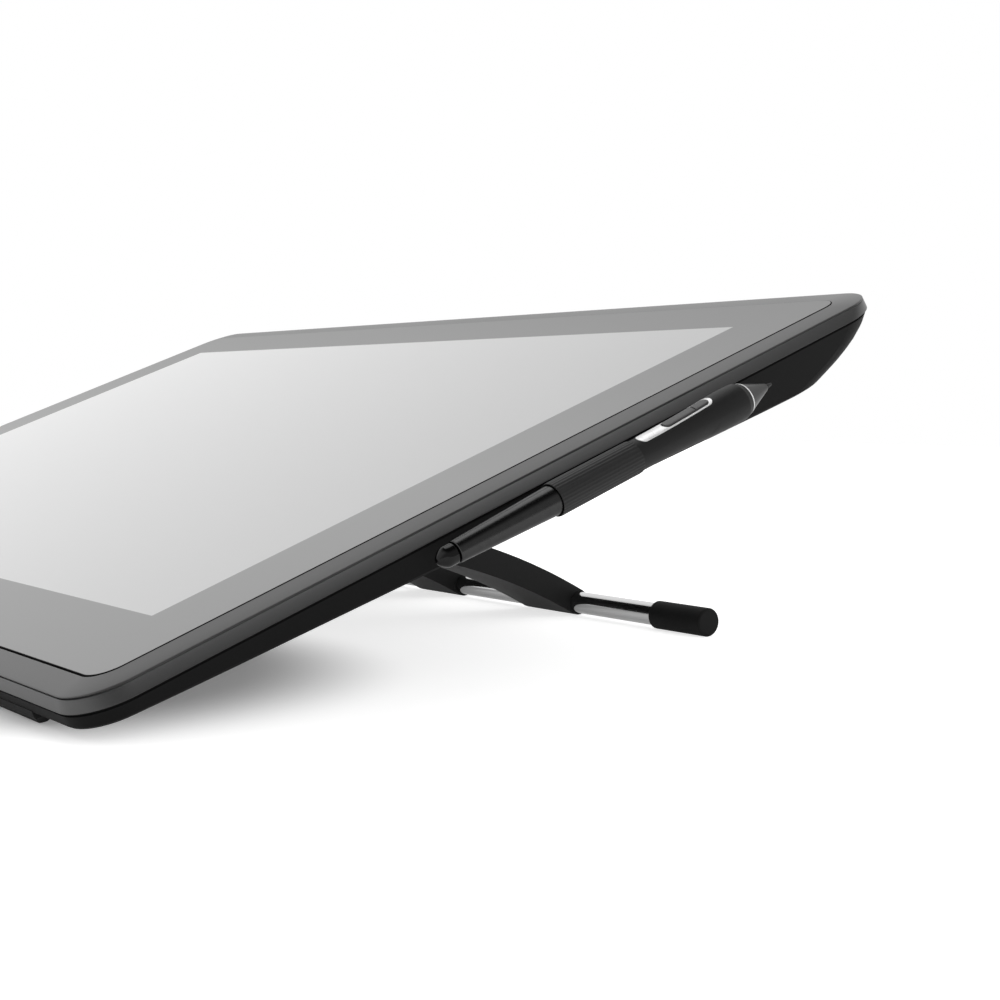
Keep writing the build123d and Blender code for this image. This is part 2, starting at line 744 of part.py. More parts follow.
def arm():
    hinge = Vector(HINGE_DESK_Y, HINGE_DESK_Z)
    tube = Vector(TUBE_DESK_Y, CAP_R)
    along = (tube - hinge).normalized()
    up = Vector(-along.Y, along.X)
    radius = ARM_LEN**2 / (8 * ARM_RISE) + ARM_RISE / 2
    crown = (hinge + tube) / 2 + up * ARM_RISE
    centre = crown - up * radius

    def off(point, distance):
        return point + (point - centre).normalized() * distance

    half = ARM_T / 2
    top = ThreePointArc(off(hinge, half), off(crown, half), off(tube, half))
    low = ThreePointArc(off(tube, -half), off(crown, -half), off(hinge, -half))
    ends = [Line(top @ 1, low @ 0), Line(low @ 1, top @ 0)]
    face = make_face([top, ends[0], low, ends[1]])
    face += Pos(hinge.X, hinge.Y) * Circle(EYE_R)
    face += Pos(tube.X, tube.Y) * Circle(WRAP_R)
    face -= Pos(hinge.X, hinge.Y) * Circle(SHAFT_R + RUNNING_FIT)
    face -= Pos(tube.X, tube.Y) * Circle(TUBE_R + RUNNING_FIT)
    return Pos(ARM_IN, 0, 0) * extrude(Plane.YZ * face, ARM_OUT - ARM_IN, dir=(1, 0, 0))


def stand_tube():
    half = CAP_OUT - CAP_END
    body = rod_x((-half, half), TUBE_DESK_Y, CAP_R, TUBE_R)
    return body - rod_x((-half - 1, half + 1), TUBE_DESK_Y, CAP_R, TUBE_R - TUBE_WALL)


def tube_cap():
    body = rod_x((CAP_IN, CAP_OUT), TUBE_DESK_Y, CAP_R, CAP_R)
    body = fillet(body.faces().sort_by(Axis.X)[-1].edges(), CAP_ROUND)
    return body - rod_x((CAP_IN - 1, CAP_OUT - CAP_END), TUBE_DESK_Y, CAP_R, TUBE_R + RUNNING_FIT)


def hinge_shaft():
    return rod_x((-SHAFT_HALF, SHAFT_HALF), HINGE_DESK_Y, HINGE_DESK_Z, SHAFT_R)


def washer(x):
    body = rod_x(x, HINGE_DESK_Y, HINGE_DESK_Z, WASHER_R)
    return body - rod_x((x[0] - 1, x[1] + 1), HINGE_DESK_Y, HINGE_DESK_Z, SHAFT_R + RUNNING_FIT)


def friction_washers():
    inner = washer((ARM_IN - WASHER_T, ARM_IN))
    outer = washer((ARM_OUT, ARM_OUT + WASHER_T))
    return joined(mirrored(inner) + mirrored(outer))


def hinge_nuts():
    start = EAR_OUT + EAR_T + SIDE_PLAY
    shape = Plane((start, HINGE_DESK_Y, HINGE_DESK_Z), x_dir=(0, 1, 0), z_dir=(1, 0, 0))
    nut = extrude(shape * (RegularPolygon(NUT_R, 6) - Circle(SHAFT_R + RUNNING_FIT)), NUT_T - 0.5)
    return joined(mirrored(nut))


# Pen, drawn with its axis along y, then put beside the casing


def beside(part):
    return Pos(PEN_X, PEN_Y, -PEN_DROP) * part


def turned(points):
    """Solid of revolution about the pen's axis from (radius, station) points."""
    return revolve(make_face(Polyline(*points, close=True)), Axis.Y)


def tail_barrel():
    """Tapered barrel, straight once inside the loop, with a narrower bore at the eraser."""
    body = turned([
        (0, TAIL_START),
        (TAIL_R0, TAIL_START),
        (TAIL_R, LOOP_START),
        (TAIL_R, TAIL_END),
        (0, TAIL_END),
    ])
    body -= turned([(0, 0), (TAIL_BORE, 0), (TAIL_BORE, PEN_LEN), (0, PEN_LEN)])
    return body - turned([(0, BORE_STEP), (PEN_BORE, BORE_STEP), (PEN_BORE, PEN_LEN), (0, PEN_LEN)])


def cone_radius(station):
    return CONE_R + (NOSE_END_R - CONE_R) * (station - CONE_START) / (NOSE_END - CONE_START)


def grip_form(grow):
    """Outside of the grip, grown by grow."""
    curve = Spline(*[(r + grow, s) for r, s in GRIP_CURVE], (CONE_R + grow, CONE_START))
    lines = Polyline(
        (CONE_R + grow, CONE_START),
        (cone_radius(RING_START) + grow, RING_START),
        (0, RING_START),
        (0, TAIL_END),
        (TAIL_R + grow, TAIL_END),
        (TAIL_R + grow, GRIP_START),
        (GRIP_CURVE[0][0] + grow, GRIP_START),
    )
    return revolve(make_face([curve, lines]), Axis.Y)


def switch_prism(start, end, width, low, high):
    """Stadium-shaped block standing off the pen's axis, towards the switch."""
    length = end - start
    shape = Pos(0, start + length / 2, low) * Rot(0, 0, 90) * SlotOverall(length, width)
    return Rot(0, 90 - SWITCH_ANGLE, 0) * extrude(shape, high - low)


def pen_grip():
    body = grip_form(0) - turned([(0, 0), (PEN_BORE, 0), (PEN_BORE, 200), (0, 200)])
    return body - switch_prism(SURROUND_START, SURROUND_END, SURROUND_W, SWITCH_FLOOR, 12)


def switch_surround():
    start = SURROUND_START + SURROUND_FIT
    end = SURROUND_END - SURROUND_FIT
    body = switch_prism(start, end, SURROUND_W - 2 * SURROUND_FIT, SWITCH_FLOOR, 12)
    body = body & grip_form(SURROUND_PROUD)
    return body - switch_prism(
        ROCKER_START - ROCKER_FIT, ROCKER_END + ROCKER_FIT, ROCKER_W + 2 * ROCKER_FIT, SWITCH_FLOOR - 1, 13
    )


def side_switch():
    """Rocker of the side switch, with the rib that it pivots on."""
    body = switch_prism(ROCKER_START, ROCKER_END, ROCKER_W, SWITCH_FLOOR + ROCKER_LIFT, 12)
    body = body & grip_form(ROCKER_PROUD)
    middle = (ROCKER_START + ROCKER_END) / 2
    rib = Pos(0, middle, SWITCH_FLOOR + PIVOT_R + 0.05) * Rot(0, 90, 0) * Cylinder(PIVOT_R, ROCKER_W - 0.6)
    split = Pos(0, ROCKER_SPLIT, SPLIT_AT) * Box(ROCKER_W + 2, SPLIT_W, 1.0)
    return body + Rot(0, 90 - SWITCH_ANGLE, 0) * rib - Rot(0, 90 - SWITCH_ANGLE, 0) * split


def nose_bore():
    return turned([(0, 0), (NIB_R + NIB_FIT, 0), (NIB_R + NIB_FIT, 200), (0, 200)])


def pen_ring():
    body = turned([
        (0, RING_START),
        (cone_radius(RING_START) + 0.1, RING_START),
        (cone_radius(RING_END) + 0.1, RING_END),
        (0, RING_END),
    ])
    return body - nose_bore()


def nose_cone():
    body = turned([
        (0, RING_END),
        (cone_radius(RING_END), RING_END),
        (NOSE_END_R, NOSE_END),
        (0, NOSE_END),
    ])
    return body - nose_bore()


def pen_nib():
    tip = PEN_LEN
    low = tip - NIB_TIP_R
    diagonal = NIB_TIP_R * sqrt(0.5)
    curve = ThreePointArc((NIB_TIP_R, low), (diagonal, low + diagonal), (0, tip))
    lines = Polyline((0, tip), (0, NIB_BACK), (NIB_R, NIB_BACK), (NIB_R, tip - NIB_TAPER), (NIB_TIP_R, low))
    return revolve(make_face([curve, lines]), Axis.Y)


def pen_coil():
    """Ferrite coil that the sensor reads, around the nib."""
    start = COIL_START
    end = COIL_START + COIL_LEN
    return turned([(0, start), (PEN_BORE - 0.1, start), (PEN_BORE - 0.1, end), (0, end)]) - nose_bore()


def pen_circuit():
    """Circuit board that runs from the eraser to the coil."""
    start = TAIL_START + 16
    return Pos(0, (start + NIB_BACK - 1) / 2, 0) * Box(PEN_BOARD_W, NIB_BACK - 1 - start, PEN_BOARD_T)


def pen_eraser():
    """Rounded eraser with a stem that slides in the tail barrel."""
    dome = Spline((0, 0), (1.6, 0.7), (2.9, 2.3), (ERASER_R, 5.0), tangents=[(1, 0), (0, 1)])
    end = TAIL_START - ERASER_GROOVE
    rest = Polyline((ERASER_R, 5.0), (ERASER_R, end), (0, end), (0, 0))
    body = revolve(make_face([dome, rest]), Axis.Y)
    stem_end = TAIL_START + ERASER_STEM
    return body + turned([(0, 4), (ERASER_STEM_R, 4), (ERASER_STEM_R, stem_end), (0, stem_end)])


# Pen loop and its slots


def pen_loop():
    """Elastic loop around the pen, on a stiff tab that plugs into the casing's side."""
    end = LOOP_START + LOOP_LEN
    inner = TAIL_R + LOOP_FIT
    body = turned([(inner, LOOP_START), (LOOP_R, LOOP_START), (LOOP_R, end), (inner, end)])
    middle = LOOP_START + LOOP_LEN / 2
    tip = MOUTH_X - TAB_DEPTH - PEN_X
    y = (middle - TAB_LEN / 2, middle + TAB_LEN / 2)
    return body + block((tip, -inner - 0.2), y, (-TAB_T / 2, TAB_T / 2))


def slot_liner():
    """Plastic sleeve in the casing's side that holds the loop's tab."""
    half_y = TAB_LEN / 2 + SLOT_FIT
    half_z = TAB_T / 2 + SLOT_FIT
    outer = block(
        (MOUTH_X - LINER_DEPTH, MOUTH_X),
        (SLOT_Y - half_y - LINER_T, SLOT_Y + half_y + LINER_T),
        (-PEN_DROP - half_z - LINER_T, -PEN_DROP + half_z + LINER_T),
    )
    inner = block(
        (MOUTH_X - LINER_DEPTH + 1, MOUTH_X + 1),
        (SLOT_Y - half_y, SLOT_Y + half_y),
        (-PEN_DROP - half_z, -PEN_DROP + half_z),
    )
    return outer - inner


def slot_plug():
    """Rubber plug in the slot on the side that carries no pen."""
    half_y = TAB_LEN / 2 + SLOT_FIT - PLUG_FIT
    half_z = TAB_T / 2 + SLOT_FIT - PLUG_FIT
    stem = block(
        (-MOUTH_X, -MOUTH_X + PLUG_LEN),
        (SLOT_Y - half_y, SLOT_Y + half_y),
        (-PEN_DROP - half_z, -PEN_DROP + half_z),
    )
    flange = block(
        (-MOUTH_X - FLANGE_T, -MOUTH_X),
        (SLOT_Y - half_y - LINER_T, SLOT_Y + half_y + LINER_T),
        (-PEN_DROP - half_z - LINER_T, -PEN_DROP + half_z + LINER_T),
    )
    return stem + flange


CASING = {
    "front_bezel": front_bezel,
    "cover_glass": cover_glass,
    "glass_tape": glass_tape,
    "lcd_panel": lcd_panel,
    "backlight_tray": backlight_tray,
    "pen_sensor": pen_sensor,
    "sensor_shield": sensor_shield,
    "chassis": chassis,
    "main_board": main_board,
    "board_chips": board_chips,
    "rear_cover": rear_cover,
    "port_bay": port_bay,
    "hdmi_socket": hdmi_socket,
    "usb_socket": usb_socket,
    "power_socket": power_socket,
    "power_button": power_button,
    "status_light": status_light,
    "button_board": button_board,
    "cover_screws": cover_screws,
    "front_foot": lambda: foot_strip(0),
    "rear_pads": rear_pads,
    "stand_bracket": stand_bracket,
    "bracket_screws": bracket_screws,
    "hinge_hood": hinge_hood,
    "right_slot_liner": slot_liner,
    "left_slot_liner": lambda: mirror(slot_liner(), about=Plane.YZ),
    "slot_plug": slot_plug,
}
PEN = {
    "pen_loop": pen_loop,
    "tail_barrel": tail_barrel,
    "pen_grip": pen_grip,
    "switch_surround": switch_surround,
    "side_switch": side_switch,
    "pen_ring": pen_ring,
    "nose_cone": nose_cone,
    "pen_nib": pen_nib,
    "pen_coil": pen_coil,
    "pen_circuit": pen_circuit,
    "pen_eraser": pen_eraser,
}
STAND = {
    "right_arm": arm,
    "left_arm": lambda: mirror(arm(), about=Plane.YZ),
    "stand_tube": stand_tube,
    "right_cap": tube_cap,
    "left_cap": lambda: mirror(tube_cap(), about=Plane.YZ),
    "hinge_shaft": hinge_shaft,
    "friction_washers": friction_washers,
    "hinge_nuts": hinge_nuts,
}


def main():
    os.makedirs("parts", exist_ok=True)
    parts = {name: make() for name, make in STAND.items()}
    parts.update({name: on_desk(make()) for name, make in CASING.items()})
    parts.update({name: on_desk(beside(make())) for name, make in PEN.items()})
    for name, part in parts.items():
        export_step(part, f"parts/{name}.step")


main()
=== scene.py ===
import json
from math import atan2, cos, pi, radians, sin

import bpy
from mathutils import Matrix, Vector

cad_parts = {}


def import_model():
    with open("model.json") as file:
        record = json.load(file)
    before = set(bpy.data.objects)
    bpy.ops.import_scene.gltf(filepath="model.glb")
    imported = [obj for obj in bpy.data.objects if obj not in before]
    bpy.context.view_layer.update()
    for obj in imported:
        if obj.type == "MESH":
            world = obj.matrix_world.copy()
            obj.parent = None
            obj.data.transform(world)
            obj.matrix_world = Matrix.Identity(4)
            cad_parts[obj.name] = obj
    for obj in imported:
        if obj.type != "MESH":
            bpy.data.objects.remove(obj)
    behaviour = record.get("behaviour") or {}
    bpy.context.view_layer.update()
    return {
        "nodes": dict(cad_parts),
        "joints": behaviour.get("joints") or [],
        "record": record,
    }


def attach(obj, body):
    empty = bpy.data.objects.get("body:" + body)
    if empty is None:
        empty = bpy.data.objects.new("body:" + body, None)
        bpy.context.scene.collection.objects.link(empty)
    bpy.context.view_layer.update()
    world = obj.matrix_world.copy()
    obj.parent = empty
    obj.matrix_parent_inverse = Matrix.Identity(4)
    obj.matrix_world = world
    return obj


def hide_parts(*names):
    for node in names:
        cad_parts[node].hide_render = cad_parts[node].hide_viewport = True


# Looks of the pen drawing tablet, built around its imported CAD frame. Objects, lamps and camera are
# in metres in the row frame. Outlines and the pen's stations are in millimetres in the casing frame:
# x to the right, y up the screen from the casing's front edge, z out of the glass with 0 on it.

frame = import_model()

MM = 0.001
JOINTS = {joint["name"]: joint for joint in frame["joints"]}
UP_SCREEN = Vector(JOINTS["pen_pull"]["axis"])
LEAN = atan2(UP_SCREEN.z, UP_SCREEN.y)
TURN = Matrix.Rotation(LEAN, 3, "X")

# Casing frame: the line where the front foot touches the desk, and the casing's outlines as
# (side, front, rear) insets from its edge with front and rear corner radii
FOOT_AT = Vector((0, 4.6, -16.6))
HALF_W = 285.0
CASE_D = 358.6
LIP = (0, 0, 0, 17.8, 28.0)
FACE_EDGE = (4.6, 2.1, 1.6, 16.8, 19.0)
GLASS_HOLE = (14.35, 12.0, 14.4, 9.4, 9.4)
GLASS_EDGE = (14.7, 12.8, 14.8, 9.0, 9.0)
ACTIVE_EDGE = (46.7, 47.1, 43.4, 0.3, 0.3)
WINDOW = (36.6, 37.0, 33.3, 1.0, 1.0)
GLASS_T = 1.8
GLASS_RIM = [(0.0, -GLASS_T), (0.0, -0.15), (0.05, -0.05), (0.15, 0.0), (0.25, 0.0)]
LEDGE_Z = -2.3
PARTING_Z = -5.5
CORNER_STEPS = 16
SHARP_ANGLE = 28

# Bezel: share of the way out and height of each ring over its face and down its flared band. The
# step between them runs under the face's edge, and the last lip ring stays inside the CAD's edge
FACE_RINGS = [(0.0, -0.30), (0.012, -0.24), (0.03, -0.23), (0.05, -0.25), (0.5, -0.76), (0.93, -1.36)]
FACE_RINGS += [(0.955, -1.41), (0.98, -1.49), (0.995, -1.60), (1.0, -1.74)]
BAND_RINGS = [(0.05, -2.26), (0.08, -2.32), (0.12, -2.44), (0.5, -3.68), (0.88, -5.02), (0.94, -5.25)]
BAND_RINGS += [(0.98, -5.42)]
FACE_IN_Z = -0.40
STEP_IN, STEP_FRONT = 0.15, 0.9
STEP_TOP_Z, STEP_LOW_Z = -1.80, -2.24
LIP_IN = 0.15

# Pen in the casing frame: its axis, and radius and station of the tail barrel's outside and bore
PEN_X, PEN_Y, PEN_Z = 290.8, 120.7, -10.3
TAIL = [(2.7, 7.6), (3.65, 7.6), (3.85, 7.8), (3.88, 8.4), (5.27, 48.9), (5.3, 49.4), (5.3, 74.0)]
TAIL += [(3.2, 74.0), (3.2, 22.0), (2.7, 22.0)]

# Elastic loop: its start and end along the pen, its sleeve with ribs, and its tab
LOOP = (49.4, 86.6)
LOOP_INNER, LOOP_OUTER = 5.6, 6.02
LOOP_CHAMFER = (0.1, 0.3)
RIBS, STEPS_PER_RIB = 30, 4
RIB_DEPTH = 0.26
TAB_TIP = 269.5
TAB_OVERLAP = 0.2
TAB_HALF, TAB_T = 15.0, 2.0

# Glass: the slope along which its painted shade deepens, and the painted shade of the active area and of
# the border along it, both darker toward the rear and the active area also darker toward the right
SCREEN_SHADE_SLOPE = 0.72 * Vector((1, 0, 0)) + 0.42 * UP_SCREEN
SCREEN_PAINTED_SHADE = dict(From_Min=-0.15, From_Max=0.35, To_Min=0.95, To_Max=0.43)
BORDER_PAINTED_SHADE = dict(From_Min=0.15, From_Max=0.34, To_Min=0.225, To_Max=0.08)

# Heights of the fine bumps and roundings of the edges, in metres
GRAIN, SCRATCH = 0.05 * MM, 0.02 * MM
MOULDED_EDGE, METAL_EDGE = 0.4 * MM, 0.2 * MM

# Camera
CAMERA_AT = (0.7275, -0.1898, 0.0936)
CAMERA_TURN = (87.52, -1.37, 53.95)
CAMERA_LENS = 60.55
SENSOR = 36.0

# Strength of the world by the height it is seen at and, in reflections, by how far to the right
CEILING = dict(From_Min=0.62, From_Max=0.88, To_Min=1.0, To_Max=0.04)
RIGHT_WALL = dict(From_Min=0.15, From_Max=0.6, To_Min=1.0, To_Max=0.4)

# Floor: the white it adds by distance from the casing's near front corner, kept low near that corner as a
# painted shadow, a share of it in reflections
FLOOR_REACH = 14.0
PAINTED_SHADOW_CENTRE = (0.10, 0.0, 0.0)
PAINTED_SHADOW_RAMP = dict(From_Min=0.12, From_Max=0.19, To_Min=0.15, To_Max=0.72)
MIRRORED_WHITE = 0.35
FAR_WHITE = dict(From_Min=0.5, From_Max=2.0, To_Min=0.0, To_Max=0.35)


def tone(value):
    """The linear colour of a neutral grey written as it shows on screen."""
    linear = ((value + 0.055) / 1.055) ** 2.4 if value > 0.04 else value / 12.92
    return (linear, linear, linear, 1.0)


def spot(x, y, z):
    """A casing frame point in millimetres, in the row frame."""
    return TURN @ ((Vector((x, y, z)) - FOOT_AT) * MM)


# Meshes


def outline(inset, z):
    """Points around a rounded outline of the casing at height z."""
    side, front, rear, near_r, far_r = inset
    corners = [
        (HALF_W - side - near_r, front + near_r, near_r, -90),
        (HALF_W - side - far_r, CASE_D - rear - far_r, far_r, 0),
        (-HALF_W + side + far_r, CASE_D - rear - far_r, far_r, 90),
        (-HALF_W + side + near_r, front + near_r, near_r, 180),
    ]
    points = []
    for x, y, radius, first in corners:
        for step in range(CORNER_STEPS + 1):
            angle = radians(first + 90 * step / CORNER_STEPS)
            points.append(spot(x + radius * cos(angle), y + radius * sin(angle), z))
    return points


def between(a, b, share):
    """An inset that lies a share of the way from a to b."""
    return [p + (q - p) * share for p, q in zip(a, b)]


def deeper(inset, side, front, rear):
    """An inset taken farther in at the sides, the front and the rear."""
    return (inset[0] + side, inset[1] + front, inset[2] + rear, inset[3], inset[4])


def solid(name, rings, closed, materials, slots=None, body="display", stands_for=()):
    """Mesh object from rings of equal length, joined in a loop or with its two ends filled."""
    count = len(rings[0])
    points = [point for ring in rings for point in ring]
    faces = []
    kinds = []
    for i in range(len(rings) if closed else len(rings) - 1):
        low, high = i * count, (i + 1) % len(rings) * count
        for j in range(count):
            k = (j + 1) % count
            faces.append((low + j, low + k, high + k, high + j))
            kinds.append(slots[i] if slots else 0)
    if not closed:
        faces.append(tuple(reversed(range(count))))
        faces.append(tuple(range(len(points) - count, len(points))))
        kinds += [0, slots[-1] if slots else 0]
    mesh = bpy.data.meshes.new(name)
    mesh.from_pydata(points, [], faces)
    for material in materials:
        mesh.materials.append(material)
    mesh.polygons.foreach_set("material_index", kinds)
    mesh.polygons.foreach_set("use_smooth", [True] * len(faces))
    mesh.set_sharp_from_angle(angle=radians(SHARP_ANGLE))
    piece = bpy.data.objects.new(name, mesh)
    bpy.context.scene.collection.objects.link(piece)
    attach(piece, body)
    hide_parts(*stands_for)
    return piece


# Materials


class Nodes:
    """The node tree of a material or world, around the shader that it starts with."""

    def __init__(self, holder, shader):
        holder.use_nodes = True
        self.tree = holder.node_tree
        self.shader = self.tree.nodes[shader]

    def node(self, kind, settings=None, **inputs):
        """A node with its inputs set or linked, by name or, for those named alike, by number."""
        node = self.tree.nodes.new("ShaderNode" + kind)
        for key, value in (settings or {}).items():
            setattr(node, key, value)
        for key, value in inputs.items():
            numbered = key[1:].isdigit()
            socket = node.inputs[int(key[1:]) if numbered else key.replace("_", " ")]
            if isinstance(value, bpy.types.NodeSocket):
                self.tree.links.new(value, socket)
            else:
                socket.default_value = value
        return node

    def link(self, output, socket):
        self.tree.links.new(output, self.shader.inputs[socket])

    def math(self, operation, a, b):
        return self.node("Math", {"operation": operation}, _0=a, _1=b).outputs["Value"]

    def mapped(self, value, limits, interpolation="LINEAR"):
        """Maps a value by limits that are named like the node's sockets."""
        node = self.node("MapRange", {"interpolation_type": interpolation}, Value=value, **limits)
        return node.outputs["Result"]


class Surface(Nodes):
    """A Principled material with a procedural node tree."""

    def __init__(self, name, **sockets):
        self.material = bpy.data.materials.new(name)
        super().__init__(self.material, "Principled BSDF")
        for socket, value in sockets.items():
            self.shader.inputs[socket.replace("_", " ")].default_value = value

    def place(self, stretch=(1, 1, 1)):
        """Object coordinates in metres, stretched along some axes if asked."""
        coordinates = self.node("TexCoord").outputs["Object"]
        return self.node("Mapping", Vector=coordinates, Scale=stretch).outputs["Vector"]

    def noise(self, where, scale, detail=3.0, roughness=0.55):
        noise = self.node("TexNoise", Vector=where, Scale=scale, Detail=detail, Roughness=roughness)
        return noise.outputs["Fac"]

    def ramp(self, value, low, high, start=0.3, end=0.7):
        """Maps the middle of a noise's range onto low to high."""
        return self.mapped(value, dict(From_Min=start, From_Max=end, To_Min=low, To_Max=high))

    def colours(self, value, dark, light, start=0.3, end=0.7):
        node = self.node("ValToRGB", Fac=value)
        node.color_ramp.elements[0].position = start
        node.color_ramp.elements[0].color = dark
        node.color_ramp.elements[1].position = end
        node.color_ramp.elements[1].color = light
        return node.outputs["Color"]

    def bump(self, height, strength, distance, **normal):
        node = self.node("Bump", Height=height, Strength=strength, Distance=distance, **normal)
        return node.outputs["Normal"]

    def soft_edges(self, radius):
        """A small rounding of sharp edges, seen only in the shading."""
        return self.node("Bevel", {"samples": 6}, Radius=radius).outputs["Normal"]


def moulded(name, shade, roughness, grain=1800.0, depth=0.25, level=0.5, edge=MOULDED_EDGE, spread=0.07):
    """Moulded plastic, rubber or powder coat: a fine grain, slow changes of tone, softened edges."""
    surface = Surface(name, Specular_IOR_Level=level)
    where = surface.place()
    slow = surface.noise(where, 14.0, 2.0)
    fine = surface.noise(where, grain, 2.0)
    mixed = surface.math("ADD", surface.ramp(slow, 0, 0.5), surface.ramp(fine, 0, 0.5))
    dark, light = tone(shade * (1 - spread)), tone(shade * (1 + spread))
    surface.link(surface.colours(mixed, dark, light, 0.2, 0.8), "Base Color")
    surface.link(surface.ramp(slow, roughness * (1 - spread), roughness * (1 + spread)), "Roughness")
    softened = {"Normal": surface.soft_edges(edge)} if edge else {}
    surface.link(surface.bump(fine, depth, GRAIN, **softened), "Normal")
    return surface.material


def metal(name, shade, roughness, stretch=(1, 1, 1), scale=400.0, depth=0.05, metallic=1.0, level=0.5):
    """Bare or plated metal with fine drawn or ground lines."""
    surface = Surface(name, Metallic=metallic, Specular_IOR_Level=level)
    where = surface.place(stretch)
    lines = surface.noise(where, scale, 4.0, 0.7)
    slow = surface.noise(surface.place(), 30.0, 2.0)
    surface.link(surface.colours(lines, tone(shade * 0.96), tone(min(shade * 1.03, 1.0))), "Base Color")
    surface.link(surface.ramp(slow, roughness * 0.85, roughness * 1.15), "Roughness")
    surface.link(surface.bump(lines, depth, SCRATCH, Normal=surface.soft_edges(METAL_EDGE)), "Normal")
    return surface.material


def glass_with_painted_shade(name, slope, painted_shade, roughness):
    """Etched glass over a grey with painted shade that deepens along a slope."""
    surface = Surface(name, Specular_IOR_Level=0.5)
    where = surface.place()
    along = surface.node("VectorMath", {"operation": "DOT_PRODUCT"}, _0=where, _1=slope).outputs["Value"]
    fine = surface.noise(where, 2600.0, 2.0)
    surface.link(surface.mapped(along, painted_shade), "Base Color")
    surface.link(surface.ramp(fine, roughness * 0.99, roughness * 1.01), "Roughness")
    surface.link(surface.bump(fine, 0.03, GRAIN), "Normal")
    return surface.material


# By material slot: a name, a grey as it shows on screen, a roughness and what is special
MATERIALS = {
    "bezel": moulded("satin_charcoal", 0.21, 0.34, level=0.7, spread=0.03),
    # The border and the active area carry painted shade, darker toward the rear and, on the active area,
    # also toward the right
    "glass": glass_with_painted_shade("border_glass", UP_SCREEN, BORDER_PAINTED_SHADE, 0.28),
    "screen": glass_with_painted_shade("screen_face", SCREEN_SHADE_SLOPE, SCREEN_PAINTED_SHADE, 0.30),
    "glass_side": moulded("glass_edge", 0.04, 0.5, level=0.1, edge=0),
    "panel": moulded("panel_face", 0.80, 0.35, depth=0.05),
    "tape": moulded("foam_tape", 0.10, 0.9),
    "tray": moulded("white_tray", 0.88, 0.5),
    "board": moulded("solder_mask", 0.25, 0.4, grain=400.0),
    "shield": metal("rolled_aluminium", 0.75, 0.3),
    "chassis": metal("zinc_steel", 0.65, 0.35),
    "chips": moulded("chip_plastic", 0.14, 0.6),
    "cover": moulded("textured_black", 0.075, 0.55, grain=1400.0, depth=0.35, level=0.08),
    "socket": metal("plated_shell", 0.75, 0.25),
    "socket_black": moulded("socket_black", 0.08, 0.5),
    "light": moulded("light_pipe", 0.85, 0.2, depth=0.02),
    "button": moulded("button_black", 0.14, 0.35),
    "screw": metal("black_screw", 0.2, 0.4),
    "rubber": moulded("black_rubber", 0.08, 0.75, grain=1200.0, depth=0.4, level=0.3),
    "bracket": moulded("bracket_coat", 0.12, 0.5),
    "arm": moulded("arm_coat", 0.12, 0.55, grain=1500.0, depth=0.4, level=0.3),
    "tube": metal("polished_tube", 0.82, 0.12, stretch=(0.02, 1, 1), depth=0.02),
    "shaft": metal("ground_steel", 0.7, 0.3),
    "washer": metal("brass_washer", 0.7, 0.35),
    "loop": moulded("elastic_loop", 0.13, 0.50, level=0.4, edge=0),
    "tail": metal("dark_barrel", 0.28, 0.24, depth=0.01),
    "grip": moulded("soft_grip", 0.10, 0.50, level=0.3),
    "silver": metal("satin_silver", 0.92, 0.30, metallic=0.35),
    "rocker": moulded("rocker_grey", 0.27, 0.35, level=0.4),
    "nose": moulded("nose_black", 0.07, 0.28, level=0.45),
    "ferrite": moulded("ferrite", 0.2, 0.7),
    "nib": moulded("nib_plastic", 0.14, 0.5),
    "eraser": moulded("gloss_black", 0.03, 0.10, depth=0.0, level=0.3),
}

SLOTS = {part["node"]: part["material_slot"] for part in frame["record"]["subparts"]}
for name, node in frame["nodes"].items():
    node.data.materials.clear()
    node.data.materials.append(MATERIALS[SLOTS[name]])

# Pieces drawn in finer detail than their nodes


def bezel():
    """Front bezel with rounded edges and a fine step under the edge of its face."""
    rings = [outline(WINDOW, LEDGE_Z), outline(GLASS_HOLE, LEDGE_Z), outline(GLASS_HOLE, FACE_IN_Z)]
    for share, z in FACE_RINGS:
        rings.append(outline(between(GLASS_HOLE, FACE_EDGE, share), z))
    step = deeper(FACE_EDGE, STEP_IN, STEP_FRONT, STEP_IN)
    rings += [outline(step, STEP_TOP_Z), outline(step, STEP_LOW_Z)]
    for share, z in BAND_RINGS:
        rings.append(outline(between(FACE_EDGE, LIP, share), z))
    rings += [outline(deeper(LIP, LIP_IN, LIP_IN, LIP_IN), PARTING_Z), outline(WINDOW, PARTING_Z)]
    piece = solid("bezel_shell", rings, True, [MATERIALS["bezel"]], stands_for=["front_bezel"])


def glass():
    """Cover glass with its printed border around the active area."""
    rings = [outline(deeper(GLASS_EDGE, inset, inset, inset), z) for inset, z in GLASS_RIM]
    rings.append(outline(ACTIVE_EDGE, 0))
    materials = [MATERIALS["glass"], MATERIALS["screen"], MATERIALS["glass_side"]]
    piece = solid("screen_glass", rings, False, materials, [2, 2, 0, 0, 0, 1], stands_for=["cover_glass"])


def circle(radius, station, rib_depth=0.0):
    """Points around the pen's axis, with ribs along it if they have a depth."""
    count = RIBS * STEPS_PER_RIB
    points = []
    for i in range(count):
        angle = 2 * pi * i / count
        r = radius - rib_depth * (0.5 - 0.5 * cos(RIBS * angle))
        points.append(spot(PEN_X + r * cos(angle), PEN_Y + station, PEN_Z + r * sin(angle)))
    return points


def tail():
    """Tapered tail barrel of the pen, with its stepped bore."""
    rings = [circle(radius, station) for radius, station in TAIL]
    piece = solid("tail_shell", rings, True, [MATERIALS["tail"]], body="pen", stands_for=["tail_barrel"])


